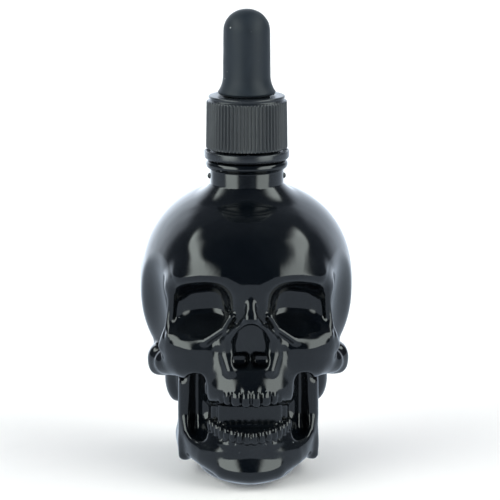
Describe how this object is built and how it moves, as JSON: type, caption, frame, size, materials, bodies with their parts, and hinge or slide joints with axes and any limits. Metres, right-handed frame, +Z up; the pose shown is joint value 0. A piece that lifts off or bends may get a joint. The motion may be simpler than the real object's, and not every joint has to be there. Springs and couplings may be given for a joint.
{
  "type": "skull dropper bottle",
  "caption": "Black glass bottle shaped as a human skull, with a ribbed screw cap, loose tamper band, rubber bulb and glass pipette.",
  "frame": {"origin": "on the neck's axis, at the flat base that the bottle stands on, under the middle of the overall box", "axes": "+Z up along the neck, -Y out of the face, +X to the right of someone who looks at the face"},
  "size_m": [0.0594, 0.0696, 0.128],
  "materials": {
    "black_glass": "gloss black lacquer on glass, opaque",
    "satin_plastic": "satin black moulded plastic",
    "black_rubber": "matte black rubber with a soft sheen",
    "clear_glass": "clear drawn glass tube"
  },
  "bodies": {
    "bottle": {"skull_bottle": "black_glass"},
    "dropper": {"pipette": "clear_glass"},
    "cap": {"cap": "satin_plastic"},
    "bulb": {"bulb": "black_rubber"},
    "band": {"tamper_band": "satin_plastic"}
  },
  "joints": [
    {"name": "dropper_rise", "type": "slide", "parent": "bottle", "child": "dropper", "axis": [0, 0, 1], "range_m": [0, 0.0045]},
    {"name": "cap_turn", "type": "hinge", "parent": "dropper", "child": "cap", "pos_m": [0, 0, 0.0896], "axis": [0, 0, 1], "range_deg": [0, 541]},
    {"name": "bulb_press", "type": "slide", "parent": "dropper", "child": "bulb", "axis": [0, 0, -1], "range_m": [0, 0.005], "stiffness_N_per_m": 400, "deforming": ["bulb"]},
    {"name": "band_turn", "type": "hinge", "parent": "bottle", "child": "band", "pos_m": [0, 0, 0.0878], "axis": [0, 0, 1], "continuous": true}
  ],
  "couplings": [
    {"joint": "cap_turn", "follows": "dropper_rise", "rad_per_m": 2094.4}
  ]
}
